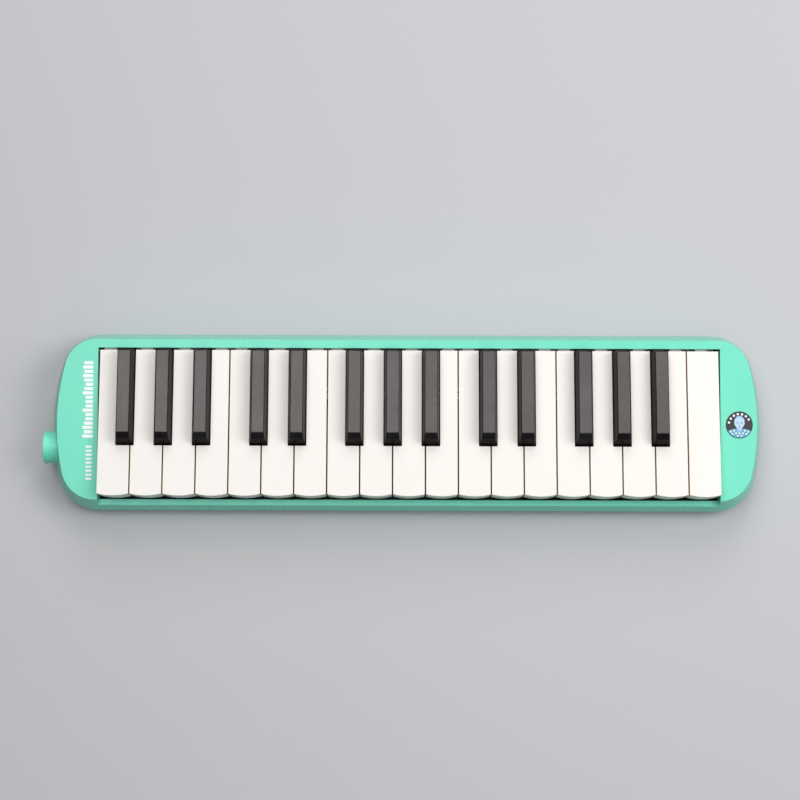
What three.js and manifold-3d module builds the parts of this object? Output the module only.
// A 32-key melodica: a free-reed instrument that is blown through a socket at its left end
// and played on a small keyboard. Millimetres, +Z up, +X to the player's right, +Y to the
// rear rail. The origin is under the middle of the whole instrument, on the table.
import * as THREE from "three";
import { mergeVertices } from "three/addons/utils/BufferGeometryUtils.js";
import Module from "manifold-3d";

const wasm = await Module();
wasm.setup();

// ---- Keyboard ----
const WHITE_PITCH = 19; // one white key and one gap
const KEY_GAP = 0.8; // between two white keys
const BLACK_WIDTH = 10.05; // at the level of the white tops
const BLACK_TOP_WIDTH = 7.4;
const BLACK_HEIGHT = 10; // above the white tops
const BLACK_LENGTH = 55.15;
const BLACK_NOSE_BACK = 2.05; // how far the front face leans back
const BLACK_NOSE_RISE = 7; // and up to where
const BLACK_SLOPE_BACK = 5.75; // where the sloped nose meets the flat top
const BLACK_REAR_LEAN = 1.7; // how far the rear face leans forward
const OUTER_OFFSET = 3.15; // sideways shift of the outer keys in a group of three blacks
const PAIR_OFFSET = 1.65; // and of both keys in a pair
const BLACK_CLEARANCE = 0.6; // beside a black key
const NOSE_CLEARANCE = 0.9; // in front of a black key
const KEY_BOW = 1.2; // how far a white key's front edge bulges
const KEY_PLATE = 3.2; // thickness of a white key's top
const KEY_SKIRT = 1.6; // its side walls
const SKIRT_DROP = 8; // side walls below the top
const LIP_DROP = 15.5; // front lip below the top
const LIP_THICKNESS = 1.8;
const LEVER_WIDTH = 7;
const LEVER_DROP = 9.5; // underside of the lever below the white tops
const TAIL_REACH = 4.2; // lever tail behind the key's visible rear edge
const TAIL_DROP = 5; // top of that tail below the white tops

// ---- Case ----
const CHEEK_LEFT = 30.7; // from the keyboard to the case end, at the seam
const CHEEK_RIGHT = 28.3;
const CASE_DEPTH = 105.2; // at the seam
const REAR_MARGIN = 13.8; // from the seam to the keys' rear edge
const FRONT_MARGIN = 7.85; // from the seam to the white keys' front corners
const END_RADIUS = 137; // the ends bulge on this radius
const CORNER_RADIUS = 25;
const TOP_REAR_Z = 38; // height of the rear rail
const TOP_FALL = 10; // the top falls by this much towards the player
const TOP_REAR_INSET = 7.5; // from the rear seam to the top's rear edge
const TOP_FRONT_INSET = 4.6;
const RAIL_Z = 20; // height of the low rail in front of the keys
const SEAM_Z = 11.5;
const BOTTOM_Z = 2.5;
const WALL_DRAFT = 0.285; // upper walls lean in by this much for each mm up
const FLOOR_DRAFT = 0.45; // lower walls lean in by this much for each mm down
const WALL = 2.4;
const TOP_WALL = 2.2;
const FLOOR = 2.4;
const WINDOW_SIDE = 0.9; // window edge beside the keyboard
const WINDOW_REAR = 1.5;
const WINDOW_FRONT = 1.35;
const SIDE_CURTAIN = 1.6; // wall that hangs beside the end keys
const FIT = 0.3; // between pieces that touch
const POST_ABOVE_SCREW = 3.6; // case posts go on above the screws' tips
const PILOT_SPARE = 1.8; // pilot holes go on above those tips
const FELT_RIB = 4; // ribs on the floor, front to rear
const COMB_RIB = 2.4;
const CHAMBER_RIB = 2;
const CHAMBER_RIB_INSET = 4; // inside the chamber's front and rear

// ---- Key rod and comb ----
const PIVOT_FROM_CHAMBER = 4; // rod axis in front of the air chamber
const PIVOT_DROP = 6.5; // rod axis below the white tops
const ROD_RADIUS = 1.2;
const EAR_THICKNESS = 1.6;
const EAR_LENGTH = 7;
const EAR_TOP_DROP = 4;
const COMB_PLATE = 2;
const COMB_DROP = 18.5; // top of the comb's plate below the white tops
const COMB_REACH = 22; // its plate reaches this far in front of the rod

// ---- Air chamber ----
const CHAMBER_WIDTH = 26; // front to rear
const CHAMBER_BEHIND_KEYS = 5.2;
const CHAMBER_WALL = 2;
const CHAMBER_SIDE = 0.8; // stands inside the keyboard's ends
const DECK_DROP = 12.5; // the deck that the pads close, below the white tops
const DECK = 3.8;
const COVER_Z = 8.4;
const COVER = 1.8;
const GASKET = 0.8;
const GASKET_WIDTH = 1.6;
const PORT_WIDTH = 3.4;
const PORT_LENGTH = 15;
const REED_PLATE = 1;
const REED_WIDTH = 2.2;
const REED_LOW_LENGTH = 14.5;
const REED_HIGH_LENGTH = 8.5;
const LUG_LENGTH = 10;
const LUG_REACH = 6.5;
const LUG_HEIGHT = 3.4;
const LUG_X = 120;

// ---- Mouthpiece socket and duct ----
const SOCKET_UNDER_TOP = 0.4; // between its flange and the top's underside
const SOCKET_FROM_FRONT = 36.4; // socket axis behind the front seam
const SOCKET_REACH = 3.2; // sticks out beyond the case end
const SOCKET_RADIUS = 9.35;
const SOCKET_FLARE = 0.35;
const SOCKET_BORE = 6.2;
const SOCKET_DEPTH = 12.5;
const SOCKET_FLANGE = 1.45; // the flange stands out by this much
const SOCKET_FLANGE_THICKNESS = 2;
const SPIGOT = 4; // the socket's inner end, from the flange's outer face
const DUCT_RADIUS = 4.4;
const DUCT_BORE = 3.2;
const DUCT_SEAT = 1; // chamber wall left under the duct
const DUCT_BEND = 1.1; // the inside of its bends
const SEAL_WALL = 1.8;
const SEAL_THICKNESS = 1.8;

// ---- Drain valve, screws, feet, felt, badge ----
const DRAIN_FROM_RIGHT = 34; // from the keyboard's right end
const DRAIN_CAP_RADIUS = 5;
const DRAIN_SHAFT_RADIUS = 1.7;
const DRAIN_SEAL_RADIUS = 4.2;
const DRAIN_TRAVEL = 1.8;
const DRAIN_CAP_Z = 1.2;
const DRAIN_CAP = 3;
const DRAIN_CHAMFER = 0.6;
const DRAIN_SEAL = 1.2;
const DRAIN_HEAD = 1.2; // the shaft's head over the seal, both up and out
const SPRING_RADIUS = 3.2;
const SPRING_WIRE = 0.3; // radius
const SPRING_TURNS = 3;
const SCREW_RADIUS = 1.4;
const SCREW_HEAD_RADIUS = 2.8;
const SCREW_HEAD = 1.8;
const SCREW_CHAMFER = 0.5;
const SCREW_POINT = 1;
const SCREW_LENGTH = 11;
const SCREW_FROM_END = 15.5;
const SCREW_FROM_EDGE = 13.6;
const SLEEVE_RADIUS = 4.6;
const SEAT_Z = 7.4; // where the case screws' heads bear
const CHAMBER_SCREW_LENGTH = 6.3;
const FOOT_RADIUS = 6;
const FOOT_CHAMFER = 0.7;
const FOOT_FROM_END = 38;
const FOOT_FROM_EDGE = 19;
const FELT_WIDTH = 6;
const FELT = 3;
const FELT_FROM_FRONT = 6.75; // felt's middle behind the keys' front corners
const KEY_TRAVEL_DEG = 4;
const BADGE_RADIUS = 7.85;
const BADGE = 0.3;
const BADGE_FROM_END = 16.4;
const BADGE_Y = -3.65;

// ---- Values that follow ----
const NOTES = ["F", "G", "A", "B", "C", "D", "E"];
const WHITE_COUNT = 19;
const keyboardWidth = WHITE_COUNT * WHITE_PITCH;
const caseLength = CHEEK_LEFT + keyboardWidth + CHEEK_RIGHT;
const caseX = SOCKET_REACH / 2;
const caseLeft = caseX - caseLength / 2;
const caseRight = caseX + caseLength / 2;
const keysLeft = caseLeft + CHEEK_LEFT;
const keysRight = keysLeft + keyboardWidth;
const keyTop = TOP_REAR_Z;
const keyRear = CASE_DEPTH / 2 - REAR_MARGIN;
const keyFront = -CASE_DEPTH / 2 + FRONT_MARGIN;
const blackFront = keyRear - BLACK_LENGTH;
const pivotZ = keyTop - PIVOT_DROP;
const leverUnder = keyTop - LEVER_DROP;
const deckTop = keyTop - DECK_DROP;
const chamberRear = keyRear + CHAMBER_BEHIND_KEYS;
const chamberFront = chamberRear - CHAMBER_WIDTH;
const chamberMiddle = (chamberRear + chamberFront) / 2;
const pivotY = chamberFront - PIVOT_FROM_CHAMBER;
const chamberLeft = keysLeft + CHAMBER_SIDE;
const chamberRight = keysRight - CHAMBER_SIDE;
const coverTop = COVER_Z + COVER;
const chamberBottom = coverTop + GASKET + 2 * FIT;
const windowLeft = keysLeft - WINDOW_SIDE;
const windowRight = keysRight + WINDOW_SIDE;
const windowRear = keyRear + WINDOW_REAR;
const windowFront = keyFront - KEY_BOW - WINDOW_FRONT;
const socketY = -CASE_DEPTH / 2 + SOCKET_FROM_FRONT;
const drainX = keysRight - DRAIN_FROM_RIGHT;
const topSlope = TOP_FALL / (CASE_DEPTH - TOP_REAR_INSET - TOP_FRONT_INSET);
const topAt = (y) => TOP_REAR_Z - topSlope * (CASE_DEPTH / 2 - TOP_REAR_INSET - y);
const flangeRadius = SOCKET_RADIUS + SOCKET_FLANGE;
const socketZ = topAt(socketY) - TOP_WALL - SOCKET_UNDER_TOP - flangeRadius;
const ductZ = chamberBottom + DUCT_SEAT + DUCT_RADIUS;
const curtainZ = ductZ + DUCT_RADIUS + SEAL_WALL + FIT;

const MINT = { color: 0x83e6cb, roughness: 0.28, metalness: 0 };
const IVORY = { color: 0xf5f3f0, roughness: 0.32, metalness: 0 };
const JET = { color: 0x1b1a1c, roughness: 0.3, metalness: 0 };
const CREAM = { color: 0xd9d4c6, roughness: 0.5, metalness: 0 };
const BRASS = { color: 0xc9a24e, roughness: 0.35, metalness: 1 };
const STEEL = { color: 0xb9bcc0, roughness: 0.3, metalness: 1 };
const RUBBER = { color: 0x2b2b2d, roughness: 0.8, metalness: 0 };
const FELT_RED = { color: 0x9b2f34, roughness: 0.95, metalness: 0 };
const PRINT = { color: 0x20222a, roughness: 0.35, metalness: 0 };

// ---- Solids ----
// A closed geometry as a solid that can be joined and cut.
function solid(geometry) {
  const bare = geometry.index ? geometry.toNonIndexed() : geometry.clone();
  bare.deleteAttribute("normal");
  bare.deleteAttribute("uv");
  const merged = mergeVertices(bare, 1e-4);
  const mesh = new wasm.Mesh({
    numProp: 3,
    vertProperties: merged.attributes.position.array,
    triVerts: new Uint32Array(merged.index.array),
  });
  return new wasm.Manifold(mesh);
}

const join = (first, ...others) => others.reduce((sum, other) => sum.add(other), first);
const cut = (first, ...others) => others.reduce((rest, other) => rest.subtract(other), first);

function box(x0, x1, y0, y1, z0, z1) {
  const geometry = new THREE.BoxGeometry(x1 - x0, y1 - y0, z1 - z0);
  return solid(geometry.translate((x0 + x1) / 2, (y0 + y1) / 2, (z0 + z1) / 2));
}

function upright(x, y, radius, z0, z1, sides = 12) {
  const geometry = new THREE.CylinderGeometry(radius, radius, z1 - z0, sides);
  return solid(geometry.rotateX(Math.PI / 2).translate(x, y, (z0 + z1) / 2));
}

function lengthwise(x0, x1, y, z, radius, sides = 12) {
  const geometry = new THREE.CylinderGeometry(radius, radius, x1 - x0, sides);
  return solid(geometry.rotateZ(Math.PI / 2).translate((x0 + x1) / 2, y, z));
}

// A plan outline carried from z0 up to z1.
function slab(shape, z0, z1, curveSegments = 4) {
  const options = { depth: z1 - z0, bevelEnabled: false, curveSegments };
  return solid(new THREE.ExtrudeGeometry(shape, options).translate(0, 0, z0));
}

// A side view, drawn in Y and Z, carried from x0 to x1.
function sideProfile(shape, x0, x1, curveSegments = 3) {
  const options = { depth: x1 - x0, bevelEnabled: false, curveSegments };
  const turn = new THREE.Matrix4().makeBasis(
    new THREE.Vector3(0, 1, 0),
    new THREE.Vector3(0, 0, 1),
    new THREE.Vector3(1, 0, 0),
  );
  return solid(new THREE.ExtrudeGeometry(shape, options).applyMatrix4(turn).translate(x0, 0, 0));
}

// A front view, drawn in X and Z, carried from y0 to y1.
function frontProfile(shape, y0, y1) {
  const options = { depth: y1 - y0, bevelEnabled: false };
  const geometry = new THREE.ExtrudeGeometry(shape, options);
  return solid(geometry.rotateX(Math.PI / 2).translate(0, y1, 0));
}

function polygon(...points) {
  return new THREE.Shape(points.map(([u, v]) => new THREE.Vector2(u, v)));
}

const melodica = new THREE.Group();

// Puts a solid into the model as one named piece, with its origin moved to `at`.
function add(name, body, finish, at = [0, 0, 0]) {
  const mesh = body.getMesh();
  const geometry = new THREE.BufferGeometry();
  geometry.setAttribute("position", new THREE.BufferAttribute(mesh.vertProperties, 3));
  geometry.setIndex(new THREE.BufferAttribute(mesh.triVerts, 1));
  const flat = geometry.toNonIndexed();
  flat.computeVertexNormals();
  const piece = new THREE.Mesh(flat, new THREE.MeshStandardMaterial(finish));
  piece.name = name;
  piece.position.set(...at);
  melodica.add(piece);
}

// ---- The case's outline and drafted blocks ----
// The plan at the seam, set in by `inset`: straight long sides, ends on a large radius, and
// corner arcs that touch both.
function caseOutline(inset) {
  const depth = CASE_DEPTH / 2 - inset;
  const corner = CORNER_RADIUS - inset;
  const end = END_RADIUS - inset;
  const endCentre = caseLength / 2 - END_RADIUS;
  const cornerY = CASE_DEPTH / 2 - CORNER_RADIUS;
  const cornerX = endCentre + Math.sqrt((END_RADIUS - CORNER_RADIUS) ** 2 - cornerY ** 2);
  const lean = Math.atan2(cornerY, cornerX - endCentre);
  const shape = new THREE.Shape();
  shape.moveTo(caseX - cornerX, -depth);
  shape.absarc(caseX + cornerX, -cornerY, corner, -Math.PI / 2, -lean, false);
  shape.absarc(caseX + endCentre, 0, end, -lean, lean, false);
  shape.absarc(caseX + cornerX, cornerY, corner, lean, Math.PI / 2, false);
  shape.absarc(caseX - cornerX, cornerY, corner, Math.PI / 2, Math.PI - lean, false);
  shape.absarc(caseX - endCentre, 0, end, Math.PI - lean, Math.PI + lean, false);
  shape.absarc(caseX - cornerX, -cornerY, corner, Math.PI + lean, 1.5 * Math.PI, false);
  return shape;
}

// A block on that outline, widest at zWide, whose walls lean in until zNarrow.
function draftedBlock(inset, zWide, zNarrow, draft) {
  const height = Math.abs(zNarrow - zWide);
  const options = {
    depth: 1,
    bevelEnabled: true,
    bevelThickness: height,
    bevelSize: height * draft,
    bevelOffset: -height * draft,
    bevelSegments: 1,
    curveSegments: 3,
  };
  const rises = zNarrow > zWide;
  const whole = new THREE.ExtrudeGeometry(caseOutline(inset), options);
  const placed = solid(whole.translate(0, 0, rises ? zWide - 1 : zWide));
  const reach = caseLength;
  const low = Math.min(zWide, zNarrow);
  return placed.intersect(box(-reach, reach, -reach, reach, low, low + height));
}

// Everything under the falling top, `drop` below it.
function underTop(drop) {
  const reach = CASE_DEPTH;
  const shape = polygon(
    [-reach, -reach],
    [reach, -reach],
    [reach, topAt(reach) - drop],
    [-reach, topAt(-reach) - drop],
  );
  return sideProfile(shape, -caseLength, caseLength);
}

const socketHole = lengthwise(
  -caseLength,
  caseLeft + CHEEK_LEFT / 2,
  socketY,
  socketZ,
  SOCKET_RADIUS + FIT,
  20,
);
const screwPlaces = [
  [caseLeft + SCREW_FROM_END, CASE_DEPTH / 2 - SCREW_FROM_EDGE],
  [caseLeft + SCREW_FROM_END, -CASE_DEPTH / 2 + SCREW_FROM_EDGE],
  [caseRight - SCREW_FROM_END, CASE_DEPTH / 2 - SCREW_FROM_EDGE],
  [caseRight - SCREW_FROM_END, -CASE_DEPTH / 2 + SCREW_FROM_EDGE],
];

// ---- Upper case: a hollow frame around the keyboard ----
function upperCase() {
  const from = SEAM_Z + FIT / 2;
  const tall = TOP_REAR_Z + TOP_FALL;
  const outside = draftedBlock(0, from, tall, WALL_DRAFT).intersect(underTop(0));
  const hollow = draftedBlock(WALL, from, tall, WALL_DRAFT).intersect(underTop(TOP_WALL));
  const curtains = [windowLeft - SIDE_CURTAIN, windowRight].map((x) =>
    box(x, x + SIDE_CURTAIN, windowFront - WALL, windowRear, curtainZ, tall),
  );
  const lip = box(
    windowLeft,
    windowRight,
    -CASE_DEPTH / 2,
    windowFront,
    RAIL_Z - TOP_WALL,
    RAIL_Z,
  );
  const posts = screwPlaces.map(([x, y]) =>
    upright(x, y, SLEEVE_RADIUS, from, SEAT_Z + SCREW_LENGTH + POST_ABOVE_SCREW),
  );
  const inside = join(lip, ...curtains, ...posts).intersect(outside);
  const window = box(windowLeft, windowRight, windowFront, windowRear, 0, 2 * tall);
  const overRail = box(windowLeft, windowRight, -CASE_DEPTH, windowFront + WALL, RAIL_Z, 2 * tall);
  const pilots = screwPlaces.map(([x, y]) =>
    upright(x, y, SCREW_RADIUS + FIT, 0, SEAT_Z + SCREW_LENGTH + PILOT_SPARE, 8),
  );
  return cut(join(outside.subtract(hollow), inside), window, overRail, socketHole, ...pilots);
}

// ---- Lower case: a tray with ribs, screw sleeves and a drain hole ----
const feltY = keyFront + FELT_FROM_FRONT;
const skirtUnder = keyTop - SKIRT_DROP;
const travel = THREE.MathUtils.degToRad(KEY_TRAVEL_DEG);
const feltTop =
  pivotZ -
  (pivotY - feltY + FELT_WIDTH / 2) * Math.sin(travel) -
  (pivotZ - skirtUnder) * Math.cos(travel) -
  FIT;
const combTop = keyTop - COMB_DROP;
const combFront = pivotY - COMB_REACH;
const combRear = chamberFront - FIT;

function lowerCase() {
  const to = SEAM_Z - FIT / 2;
  const floorTop = BOTTOM_Z + FLOOR;
  const outside = draftedBlock(0, to, BOTTOM_Z, FLOOR_DRAFT);
  const hollow = draftedBlock(WALL, to, floorTop, FLOOR_DRAFT);
  const sunk = floorTop - FLOOR / 2;
  const rib = (y, thickness, top) =>
    box(keysLeft, keysRight, y - thickness / 2, y + thickness / 2, sunk, top);
  const ribs = [
    rib(feltY, FELT_RIB, feltTop - FELT - FIT),
    rib((combFront + combRear) / 2, COMB_RIB, combTop - COMB_PLATE - FIT),
    rib(chamberFront + CHAMBER_RIB_INSET, CHAMBER_RIB, COVER_Z - FIT),
    rib(chamberRear - CHAMBER_RIB_INSET, CHAMBER_RIB, COVER_Z - FIT),
  ];
  const sleeves = join(
    ...screwPlaces.map(([x, y]) => upright(x, y, SLEEVE_RADIUS, BOTTOM_Z, to)),
  ).intersect(outside);
  const bores = screwPlaces.flatMap(([x, y]) => [
    upright(x, y, SCREW_HEAD_RADIUS + FIT, 0, SEAT_Z, 10),
    upright(x, y, SCREW_RADIUS + FIT, 0, SEAM_Z, 8),
  ]);
  const drainHole = upright(drainX, chamberMiddle, DRAIN_CAP_RADIUS + FIT, 0, COVER_Z, 16);
  const flangePocket = lengthwise(
    flangeX - FIT,
    flangeTo + FIT,
    socketY,
    socketZ,
    flangeRadius + FIT,
    20,
  );
  const tray = join(outside.subtract(hollow), ...ribs, sleeves);
  return cut(tray, socketHole, flangePocket, drainHole, ...bores);
}

// ---- Keys ----
// Sideways shift of the black key that stands on the gap after each white key, or null.
const BLACK_SHIFT = {
  F: -OUTER_OFFSET,
  G: 0,
  A: OUTER_OFFSET,
  B: null,
  C: -PAIR_OFFSET,
  D: PAIR_OFFSET,
  E: null,
};

// A lever under a key: a beam from y0 to the tail, with a slot that drops over the rod.
function lever(x, y0) {
  const slot = ROD_RADIUS + FIT;
  const shape = new THREE.Shape();
  shape.moveTo(y0, leverUnder);
  shape.lineTo(pivotY - slot, leverUnder);
  shape.absarc(pivotY, pivotZ, slot, Math.PI, 0, true);
  shape.lineTo(pivotY + slot, leverUnder);
  shape.lineTo(keyRear + TAIL_REACH, leverUnder);
  shape.lineTo(keyRear + TAIL_REACH, keyTop - TAIL_DROP);
  shape.lineTo(keyRear - FIT, keyTop - TAIL_DROP);
  shape.lineTo(keyRear - FIT, keyTop - KEY_PLATE / 2);
  shape.lineTo(y0, keyTop - KEY_PLATE / 2);
  return sideProfile(shape, x - LEVER_WIDTH / 2, x + LEVER_WIDTH / 2);
}

// A white key about its own middle. left and right are the edges of its narrow rear part.
function whiteKey(left, right) {
  const half = (WHITE_PITCH - KEY_GAP) / 2;
  const notchY = blackFront - NOSE_CLEARANCE;
  const bowed = (inset, rear) => {
    const shape = new THREE.Shape();
    shape.moveTo(-half + inset, keyFront + inset);
    shape.quadraticCurveTo(0, keyFront + inset - 2 * KEY_BOW, half - inset, keyFront + inset);
    shape.lineTo(half - inset, rear);
    return shape;
  };
  const plate = bowed(0, notchY);
  plate.lineTo(right, notchY);
  plate.lineTo(right, keyRear);
  plate.lineTo(left, keyRear);
  plate.lineTo(left, notchY);
  plate.lineTo(-half, notchY);
  const skirt = bowed(0, notchY);
  skirt.lineTo(-half, notchY);
  const pocket = bowed(KEY_SKIRT, notchY - KEY_SKIRT);
  pocket.lineTo(-half + KEY_SKIRT, notchY - KEY_SKIRT);
  skirt.holes.push(pocket);
  const lip = bowed(0, keyFront + LIP_THICKNESS);
  lip.lineTo(-half, keyFront + LIP_THICKNESS);
  return join(
    slab(plate, keyTop - KEY_PLATE, keyTop),
    slab(skirt, skirtUnder, keyTop - KEY_PLATE / 2),
    slab(lip, keyTop - LIP_DROP, keyTop - KEY_PLATE / 2),
    lever((left + right) / 2, notchY - KEY_SKIRT / 2),
  );
}

// A black key about its own middle: a tapered cap with a sloped nose, on its lever.
function blackKey() {
  const foot = keyTop - KEY_PLATE;
  const top = keyTop + BLACK_HEIGHT;
  const side = polygon(
    [blackFront, foot],
    [keyRear, foot],
    [keyRear, keyTop],
    [keyRear - BLACK_REAR_LEAN, top],
    [blackFront + BLACK_SLOPE_BACK, top],
    [blackFront + BLACK_NOSE_BACK, keyTop + BLACK_NOSE_RISE],
    [blackFront, keyTop],
  );
  const half = BLACK_WIDTH / 2;
  const halfTop = BLACK_TOP_WIDTH / 2;
  const front = polygon(
    [-half, foot],
    [half, foot],
    [half, keyTop],
    [halfTop, top],
    [-halfTop, top],
    [-half, keyTop],
  );
  const cap = sideProfile(side, -BLACK_WIDTH, BLACK_WIDTH).intersect(
    frontProfile(front, blackFront - 1, keyRear + 1),
  );
  return cap.add(lever(0, blackFront + BLACK_SLOPE_BACK));
}

// Lays out the keys from the lowest F up, and keeps each lever's place for the reeds.
const leverX = [];
const earX = [];
for (let i = 0; i < WHITE_COUNT; i++) {
  const note = NOTES[i % NOTES.length];
  const octave = 3 + Math.floor((i + 3) / NOTES.length);
  const x = keysLeft + (i + 0.5) * WHITE_PITCH;
  const edge = (WHITE_PITCH - KEY_GAP) / 2;
  const beside = BLACK_WIDTH / 2 + BLACK_CLEARANCE;
  const before = i > 0 ? BLACK_SHIFT[NOTES[(i - 1) % NOTES.length]] : null;
  const after = i < WHITE_COUNT - 1 ? BLACK_SHIFT[note] : null;
  const left = before === null ? -edge : -WHITE_PITCH / 2 + before + beside;
  const right = after === null ? edge : WHITE_PITCH / 2 + after - beside;
  add(`white_key_${note}${octave}`, whiteKey(left, right), IVORY, [x, 0, 0]);
  const middle = x + (left + right) / 2;
  if (before === null && i > 0) earX.push((leverX.at(-1) + middle) / 2);
  leverX.push(middle);
  if (after !== null) {
    const blackX = x + WHITE_PITCH / 2 + after;
    add(`black_key_${note}s${octave}`, blackKey(), JET, [blackX, 0, 0]);
    leverX.push(blackX);
  }
}
earX.unshift((windowLeft + leverX.at(0) - LEVER_WIDTH / 2) / 2);
earX.push((windowRight + leverX.at(-1) + LEVER_WIDTH / 2) / 2);

// ---- Rod and comb ----
function keyComb() {
  const plate = box(keysLeft, keysRight, combFront, combRear, combTop - COMB_PLATE, combTop);
  const slot = ROD_RADIUS + FIT;
  const top = keyTop - EAR_TOP_DROP;
  const shape = new THREE.Shape();
  shape.moveTo(combRear, combTop - COMB_PLATE);
  shape.lineTo(combRear, top);
  shape.lineTo(pivotY + slot, top);
  shape.absarc(pivotY, pivotZ, slot, 0, Math.PI, true);
  shape.lineTo(pivotY - slot, top);
  shape.lineTo(combRear - EAR_LENGTH, top);
  shape.lineTo(combRear - EAR_LENGTH, combTop - COMB_PLATE);
  const ears = earX.map((x) =>
    sideProfile(shape, x - EAR_THICKNESS / 2, x + EAR_THICKNESS / 2),
  );
  return join(plate, ...ears);
}

// ---- Air chamber, reed plates, gasket and cover ----
const lugPlaces = [caseX - LUG_X, caseX + LUG_X];
const lugBoxes = (z0, z1) =>
  lugPlaces.map((x) =>
    box(x - LUG_LENGTH / 2, x + LUG_LENGTH / 2, chamberFront - LUG_REACH, chamberFront + 1, z0, z1),
  );
const lugY = chamberFront - LUG_REACH / 2;
const lugBores = lugPlaces.map((x) => upright(x, lugY, SCREW_RADIUS + FIT, 0, keyTop, 8));

function airChamber() {
  const body = box(
    chamberLeft,
    chamberRight,
    chamberFront,
    chamberRear,
    chamberBottom,
    deckTop,
  );
  const hollow = box(
    chamberLeft + CHAMBER_WALL,
    chamberRight - CHAMBER_WALL,
    chamberFront + CHAMBER_WALL,
    chamberRear - CHAMBER_WALL,
    0,
    deckTop - DECK,
  );
  const ports = leverX.map((x) =>
    box(
      x - PORT_WIDTH / 2,
      x + PORT_WIDTH / 2,
      chamberMiddle - PORT_LENGTH / 2,
      chamberMiddle + PORT_LENGTH / 2,
      0,
      2 * deckTop,
    ),
  );
  const inlet = lengthwise(
    chamberLeft - 1,
    chamberLeft + CHAMBER_WALL + 1,
    chamberMiddle,
    ductZ,
    DUCT_RADIUS + FIT,
  );
  const lugs = lugBoxes(chamberBottom, chamberBottom + LUG_HEIGHT);
  return cut(join(body, ...lugs), hollow, inlet, ...lugBores, ...ports);
}

// A brass plate with one reed slot under each port; low notes have the longer reeds.
function reedPlate(first, last, x0, x1) {
  const top = deckTop - DECK - FIT;
  const side = CHAMBER_WALL + FIT;
  let plate = box(x0, x1, chamberFront + side, chamberRear - side, top - REED_PLATE, top);
  for (let i = first; i <= last; i++) {
    const share = i / (leverX.length - 1);
    const length = THREE.MathUtils.lerp(REED_LOW_LENGTH, REED_HIGH_LENGTH, share);
    const half = REED_WIDTH / 2;
    const slot = box(
      leverX[i] - half,
      leverX[i] + half,
      chamberMiddle - length / 2,
      chamberMiddle + length / 2,
      0,
      deckTop,
    );
    plate = plate.subtract(slot);
  }
  return plate;
}

function gasket() {
  const ring = (inset, z0, z1) =>
    box(
      chamberLeft + inset,
      chamberRight - inset,
      chamberFront + inset,
      chamberRear - inset,
      z0,
      z1,
    );
  const from = coverTop + FIT;
  return ring(0, from, from + GASKET).subtract(ring(GASKET_WIDTH, 0, keyTop));
}

function chamberCover() {
  const plate = box(chamberLeft, chamberRight, chamberFront, chamberRear, COVER_Z, coverTop);
  const hole = upright(drainX, chamberMiddle, DRAIN_SHAFT_RADIUS + 3 * FIT, 0, keyTop, 10);
  return cut(join(plate, ...lugBoxes(COVER_Z, coverTop)), hole, ...lugBores);
}

// ---- Mouthpiece socket and the duct to the chamber ----
// A ring about the X axis from a closed profile of [x, radius] points.
function turned(profile, y, z, sides) {
  const points = profile.map(([x, radius]) => new THREE.Vector2(radius, x)).reverse();
  points.push(points[0].clone());
  const lathe = new THREE.LatheGeometry(points, sides).rotateZ(-Math.PI / 2);
  return solid(lathe.translate(0, y, z));
}

const socketEnd = caseLeft - SOCKET_REACH;
// The flange touches the leaning, bulging end wall first at its upper shoulder.
const shoulder = flangeRadius * Math.SQRT1_2;
const bulge = END_RADIUS - Math.sqrt(END_RADIUS ** 2 - (Math.abs(socketY) + shoulder) ** 2);
const wallLean = WALL_DRAFT * (socketZ + shoulder - SEAM_Z);
const flangeX = caseLeft + WALL + wallLean + bulge + 2 * FIT;
const flangeTo = flangeX + SOCKET_FLANGE_THICKNESS;
const spigotX = flangeX + SPIGOT;

function mouthpieceSocket() {
  const profile = [
    [socketEnd, SOCKET_RADIUS + SOCKET_FLARE],
    [socketEnd, SOCKET_BORE],
    [socketEnd + SOCKET_DEPTH, SOCKET_BORE],
    [socketEnd + SOCKET_DEPTH, DUCT_RADIUS + FIT],
    [spigotX, DUCT_RADIUS + FIT],
    [spigotX, DUCT_RADIUS + WALL],
    [flangeTo, DUCT_RADIUS + WALL],
    [flangeTo, flangeRadius],
    [flangeX, flangeRadius],
    [flangeX, SOCKET_RADIUS],
    [caseLeft, SOCKET_RADIUS],
  ];
  return turned(profile, socketY, socketZ, 20);
}

// The duct runs in from the socket, bends to the rear along the cheek, and bends again into
// the chamber's end.
function airDuct() {
  const runX = windowLeft - SIDE_CURTAIN - FIT - DUCT_RADIUS;
  const bend = DUCT_RADIUS + DUCT_BEND;
  const at = (x, y, z) => new THREE.Vector3(x, y, z);
  const start = at(socketEnd + SOCKET_DEPTH + FIT, socketY, socketZ);
  const turnIn = at(runX - bend, socketY, socketZ);
  const turnOut = at(runX, socketY + bend, socketZ);
  const bendIn = at(runX, chamberMiddle - bend, ductZ);
  const bendOut = at(runX + bend, chamberMiddle, ductZ);
  const end = at(chamberLeft + CHAMBER_WALL, chamberMiddle, ductZ);
  const path = new THREE.CurvePath();
  path.add(new THREE.LineCurve3(start, turnIn));
  path.add(new THREE.QuadraticBezierCurve3(turnIn, at(runX, socketY, socketZ), turnOut));
  path.add(new THREE.LineCurve3(turnOut, bendIn));
  path.add(new THREE.QuadraticBezierCurve3(bendIn, at(runX, chamberMiddle, ductZ), bendOut));
  path.add(new THREE.LineCurve3(bendOut, end));
  const section = new THREE.Shape().absarc(0, 0, DUCT_RADIUS, 0, 2 * Math.PI, false);
  section.holes.push(new THREE.Path().absarc(0, 0, DUCT_BORE, 0, 2 * Math.PI, true));
  const options = { steps: 20, extrudePath: path, curveSegments: 4, bevelEnabled: false };
  return solid(new THREE.ExtrudeGeometry(section, options));
}

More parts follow.
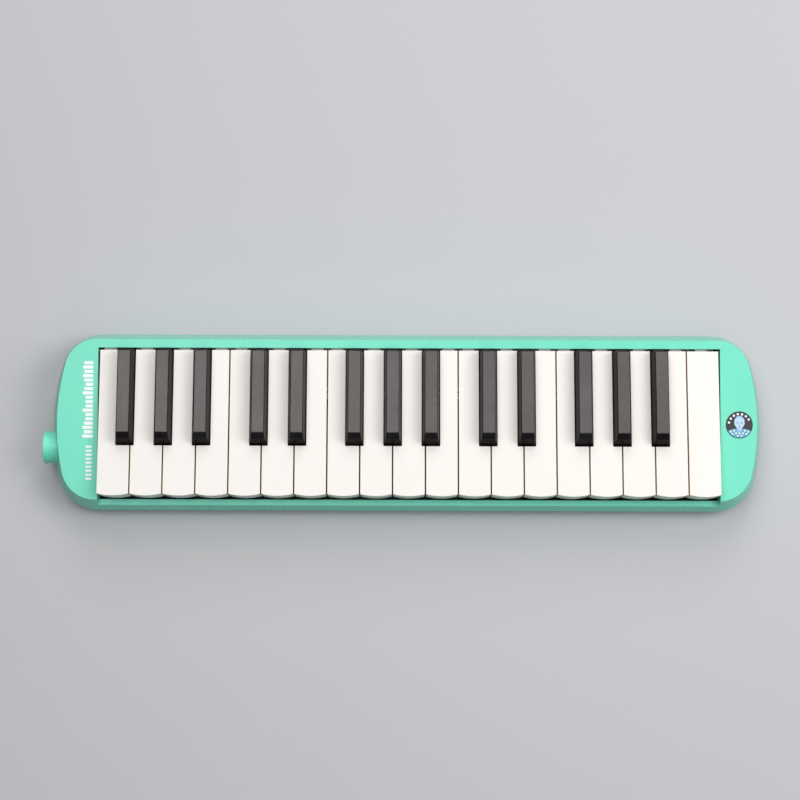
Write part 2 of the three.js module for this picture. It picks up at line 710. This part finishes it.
function ductSeal() {
  const to = chamberLeft - FIT;
  const profile = [
    [to - SEAL_THICKNESS, DUCT_RADIUS + SEAL_WALL],
    [to - SEAL_THICKNESS, DUCT_RADIUS + FIT],
    [to, DUCT_RADIUS + FIT],
    [to, DUCT_RADIUS + SEAL_WALL],
  ];
  return turned(profile, chamberMiddle, ductZ, 14);
}

// ---- Drain valve: pushed up from below, it lifts its seal off the cover ----
// A body of revolution about a vertical axis from [radius, z] points.
function uprightTurned(profile, x, y, sides) {
  const points = profile.map(([radius, z]) => new THREE.Vector2(radius, z));
  const lathe = new THREE.LatheGeometry(points, sides).rotateX(Math.PI / 2);
  return solid(lathe.translate(x, y, 0));
}

const capTop = DRAIN_CAP_Z + DRAIN_CAP;
const sealFrom = coverTop + FIT;
const sealTo = sealFrom + DRAIN_SEAL;

function drainButton() {
  const head = DRAIN_SHAFT_RADIUS + DRAIN_HEAD;
  const headTo = sealTo + DRAIN_HEAD;
  const profile = [
    [0, DRAIN_CAP_Z],
    [DRAIN_CAP_RADIUS - DRAIN_CHAMFER, DRAIN_CAP_Z],
    [DRAIN_CAP_RADIUS, DRAIN_CAP_Z + DRAIN_CHAMFER],
    [DRAIN_CAP_RADIUS, capTop],
    [DRAIN_SHAFT_RADIUS, capTop],
    [DRAIN_SHAFT_RADIUS, sealTo + FIT],
    [head, sealTo + FIT],
    [head, headTo],
    [0, headTo],
  ];
  return uprightTurned(profile, drainX, chamberMiddle, 16);
}

function drainSeal() {
  const inner = DRAIN_SHAFT_RADIUS + FIT;
  const profile = [
    [inner, sealFrom],
    [DRAIN_SEAL_RADIUS, sealFrom],
    [DRAIN_SEAL_RADIUS, sealTo],
    [inner, sealTo],
    [inner, sealFrom],
  ];
  return uprightTurned(profile, drainX, chamberMiddle, 12);
}

// A coil spring of round wire between z0 and z1, drawn around a vertical axis.
class Coil extends THREE.Curve {
  constructor(x, y, radius, z0, z1, turns) {
    super();
    Object.assign(this, { x, y, radius, z0, z1, turns });
  }

  getPoint(t, target = new THREE.Vector3()) {
    const angle = 2 * Math.PI * this.turns * t;
    return target.set(
      this.x + this.radius * Math.cos(angle),
      this.y + this.radius * Math.sin(angle),
      THREE.MathUtils.lerp(this.z0, this.z1, t),
    );
  }
}

function drainSpring() {
  const end = SPRING_WIRE + FIT;
  const from = capTop + end;
  const to = COVER_Z - end;
  const path = new Coil(drainX, chamberMiddle, SPRING_RADIUS, from, to, SPRING_TURNS);
  const section = new THREE.Shape().absarc(0, 0, SPRING_WIRE, 0, 2 * Math.PI, false);
  const options = { steps: 24, extrudePath: path, curveSegments: 3, bevelEnabled: false };
  return solid(new THREE.ExtrudeGeometry(section, options));
}

// ---- Fasteners, feet, felt, badge ----
function screw(x, y, seat, length) {
  const profile = [
    [0, seat - SCREW_HEAD],
    [SCREW_HEAD_RADIUS - SCREW_CHAMFER, seat - SCREW_HEAD],
    [SCREW_HEAD_RADIUS, seat - SCREW_HEAD + SCREW_CHAMFER],
    [SCREW_HEAD_RADIUS, seat],
    [SCREW_RADIUS, seat],
    [SCREW_RADIUS, seat + length - SCREW_POINT],
    [0, seat + length],
  ];
  return uprightTurned(profile, x, y, 10);
}

function foot(x, y) {
  const to = BOTTOM_Z - FIT;
  const profile = [
    [0, 0],
    [FOOT_RADIUS - FOOT_CHAMFER, 0],
    [FOOT_RADIUS, FOOT_CHAMFER],
    [FOOT_RADIUS, to],
    [0, to],
  ];
  return uprightTurned(profile, x, y, 16);
}

const felt = box(
  keysLeft,
  keysRight,
  feltY - FELT_WIDTH / 2,
  feltY + FELT_WIDTH / 2,
  feltTop - FELT,
  feltTop,
);

// The badge lies on the falling top of the right cheek, so it is drawn flat and then tilted.
function badge() {
  const disc = new THREE.CylinderGeometry(BADGE_RADIUS, BADGE_RADIUS, BADGE, 24);
  const tilt = Math.PI / 2 + Math.atan(topSlope);
  const z = topAt(BADGE_Y) + FIT / 2 + BADGE / 2;
  return solid(disc.rotateX(tilt).translate(caseRight - BADGE_FROM_END, BADGE_Y, z));
}

add("upper_case", upperCase(), MINT);
add("lower_case", lowerCase(), MINT);
add("mouthpiece_socket", mouthpieceSocket(), MINT);
add("air_duct", airDuct(), CREAM);
add("duct_seal", ductSeal(), RUBBER);
add("air_chamber", airChamber(), CREAM);
add("chamber_cover", chamberCover(), CREAM);
add("chamber_gasket", gasket(), RUBBER);
const halfway = leverX.length / 2;
const splitX = (leverX[halfway - 1] + leverX[halfway]) / 2;
const plateLeft = chamberLeft + CHAMBER_WALL + FIT;
const plateRight = chamberRight - CHAMBER_WALL - FIT;
add("reed_plate_low", reedPlate(0, halfway - 1, plateLeft, splitX - FIT), BRASS);
add("reed_plate_high", reedPlate(halfway, leverX.length - 1, splitX + FIT, plateRight), BRASS);
add("key_comb", keyComb(), CREAM);
const rod = lengthwise(windowLeft + FIT, windowRight - FIT, pivotY, pivotZ, ROD_RADIUS, 8);
add("key_rod", rod, STEEL);
add("front_felt", felt, FELT_RED);
add("drain_button", drainButton(), MINT);
add("drain_seal", drainSeal(), RUBBER);
add("drain_spring", drainSpring(), STEEL);
screwPlaces.forEach(([x, y], i) => {
  add(`case_screw_${i + 1}`, screw(x, y, SEAT_Z - FIT, SCREW_LENGTH), STEEL);
});
lugPlaces.forEach((x, i) => {
  const piece = screw(x, lugY, COVER_Z - FIT, CHAMBER_SCREW_LENGTH);
  add(`chamber_screw_${i + 1}`, piece, STEEL);
});
let footNumber = 0;
for (const x of [caseLeft + FOOT_FROM_END, caseRight - FOOT_FROM_END]) {
  for (const y of [-1, 1]) {
    footNumber += 1;
    add(`rubber_foot_${footNumber}`, foot(x, y * (CASE_DEPTH / 2 - FOOT_FROM_EDGE)), RUBBER);
  }
}
add("badge", badge(), PRINT);

export default melodica;
